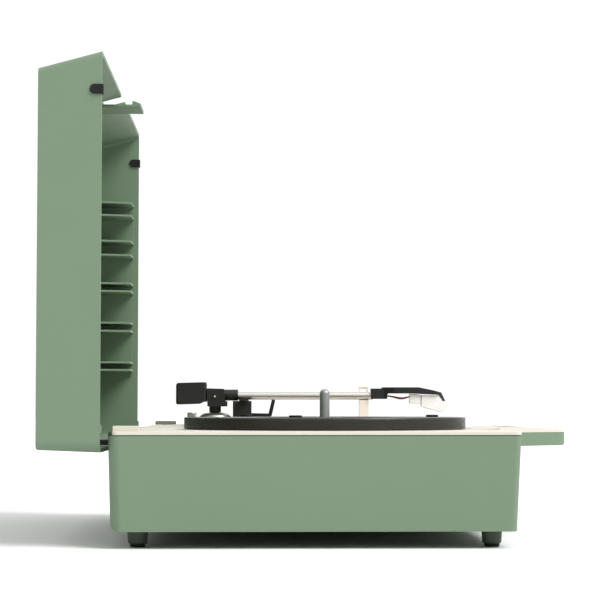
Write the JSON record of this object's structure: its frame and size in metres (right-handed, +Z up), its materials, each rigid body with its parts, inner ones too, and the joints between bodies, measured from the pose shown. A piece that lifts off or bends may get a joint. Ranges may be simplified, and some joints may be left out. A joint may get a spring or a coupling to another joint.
{
  "type": "suitcase record player",
  "caption": "Portable record player in a low suitcase-style case with a deep lid hinged open, front carrying handle, belt-driven platter and straight tonearm with cue lift.",
  "frame": {"origin": "centre of the footprint with the lid open, on the surface that the rubber feet stand on", "axes": "+X to the listener's right, -Y to the front where the handle is, +Z up"},
  "size_m": [0.3602, 0.3647, 0.3221],
  "materials": {
    "green_plastic": "satin sage green",
    "cream_plastic": "satin cream",
    "beige_plastic": "satin pale beige",
    "charcoal_plastic": "fine matt charcoal",
    "black_plastic": "satin black",
    "black_steel": "black painted steel",
    "black_rubber": "matt black rubber",
    "speaker_paper": "black cone in a pressed frame",
    "bright_metal": "bright plated",
    "steel": "brushed",
    "brass": "turned brass",
    "board_resin": "green circuit board",
    "silver_metal": "satin silver",
    "white_plastic": "milky white",
    "red_insulation": "thin red insulation",
    "dark_insulation": "thin dark insulation"
  },
  "bodies": {
    "base": {"base_shell": "green_plastic", "deck_plate": "cream_plastic", "handle_grip": "green_plastic", "handle_cap": "cream_plastic", "speaker_grille_left": "charcoal_plastic", "speaker_grille_right": "charcoal_plastic", "speaker_left": "speaker_paper", "speaker_right": "speaker_paper", "foot_pad_rear_left": "black_rubber", "foot_pad_front_left": "black_rubber", "foot_pad_rear_right": "black_rubber", "foot_pad_front_right": "black_rubber", "rear_panel": "black_plastic", "power_inlet": "black_plastic", "line_jack_left": "bright_metal", "line_jack_right": "bright_metal", "main_board": "board_resin", "platter_bearing": "brass", "motor": "steel", "drive_belt": "black_rubber", "tonearm_base": "silver_metal", "arm_rest": "beige_plastic", "lift_housing": "black_plastic", "hinge_bracket_left": "steel", "hinge_bracket_right": "steel", "hinge_pin_left": "steel", "hinge_pin_right": "steel"},
    "lid": {"lid_shell": "green_plastic", "rib_rack_left": "green_plastic", "rib_rack_right": "green_plastic", "latch_tongue": "green_plastic", "rim_clip_left": "black_rubber", "rim_clip_right": "black_rubber", "hinge_arm_left": "black_steel", "hinge_arm_right": "black_steel"},
    "platter_body": {"platter": "charcoal_plastic", "platter_pad_1": "black_rubber", "platter_pad_2": "black_rubber", "platter_pad_3": "black_rubber", "spindle": "steel"},
    "pulley_body": {"motor_pulley": "brass"},
    "yoke_body": {"arm_yoke": "black_plastic", "pivot_screw_left": "bright_metal", "pivot_screw_right": "bright_metal"},
    "arm_body": {"arm_pivot_block": "black_plastic", "counterweight": "black_plastic", "arm_tube": "silver_metal", "headshell": "black_plastic", "cartridge": "white_plastic", "stylus_guard": "white_plastic", "stylus": "bright_metal", "wire_red": "red_insulation", "wire_dark": "dark_insulation"},
    "lever_body": {"cue_lever": "black_plastic"},
    "platform_body": {"lift_platform": "black_plastic"},
    "clip_body": {"arm_clip": "beige_plastic"},
    "volume_body": {"volume_knob": "cream_plastic"},
    "function_body": {"function_knob": "silver_metal"},
    "speed_body": {"speed_selector": "black_plastic"},
    "autostop_body": {"autostop_switch": "black_plastic"}
  },
  "joints": [
    {"name": "lid_hinge", "type": "hinge", "parent": "base", "child": "lid", "pos_m": [0, 0.1315, 0.06675], "axis": [1, 0, 0], "range_deg": [0, 90]},
    {"name": "platter_spin", "type": "hinge", "parent": "base", "child": "platter_body", "pos_m": [-0.028, -0.0086, 0.08], "axis": [0, 0, -1], "continuous": true},
    {"name": "pulley_spin", "type": "hinge", "parent": "base", "child": "pulley_body", "pos_m": [-0.084, 0.0474, 0.07], "axis": [0, 0, -1], "continuous": true},
    {"name": "arm_swing", "type": "hinge", "parent": "base", "child": "yoke_body", "pos_m": [0.105, 0.0742, 0.09], "axis": [0, 0, -1], "range_deg": [0, 40]},
    {"name": "cue_lever_turn", "type": "hinge", "parent": "base", "child": "lever_body", "pos_m": [0.1145, 0.0514, 0.085], "axis": [1, 0, 0], "range_deg": [-35, 0]},
    {"name": "arm_lift", "type": "hinge", "parent": "yoke_body", "child": "arm_body", "pos_m": [0.105, 0.0742, 0.0997], "axis": [1, 0, 0], "range_deg": [-4.01, 0]},
    {"name": "platform_rise", "type": "slide", "parent": "base", "child": "platform_body", "axis": [0, 0, 1], "range_m": [0, 0.00121]},
    {"name": "clip_fold", "type": "hinge", "parent": "base", "child": "clip_body", "pos_m": [0.1113, -0.04485, 0.10705], "axis": [0, -1, 0], "range_deg": [0, 180]},
    {"name": "volume_turn", "type": "hinge", "parent": "base", "child": "volume_body", "pos_m": [0.125, 0.1146, 0.078], "axis": [0, 0, -1], "range_deg": [0, 270]},
    {"name": "function_turn", "type": "hinge", "parent": "base", "child": "function_body", "pos_m": [0.135, 0.0938, 0.082], "axis": [0, 0, -1], "range_deg": [0, 60]},
    {"name": "speed_slide", "type": "slide", "parent": "base", "child": "speed_body", "axis": [0, 1, 0], "range_m": [-0.005, 0.005]},
    {"name": "autostop_slide", "type": "slide", "parent": "base", "child": "autostop_body", "axis": [0, -1, 0], "range_m": [0, 0.008]}
  ],
  "couplings": [
    {"joint": "pulley_spin", "follows": "platter_spin", "ratio": 11},
    {"joint": "arm_lift", "follows": "cue_lever_turn", "ratio": 0.11429},
    {"joint": "platform_rise", "follows": "cue_lever_turn", "m_per_rad": -0.0019644}
  ]
}
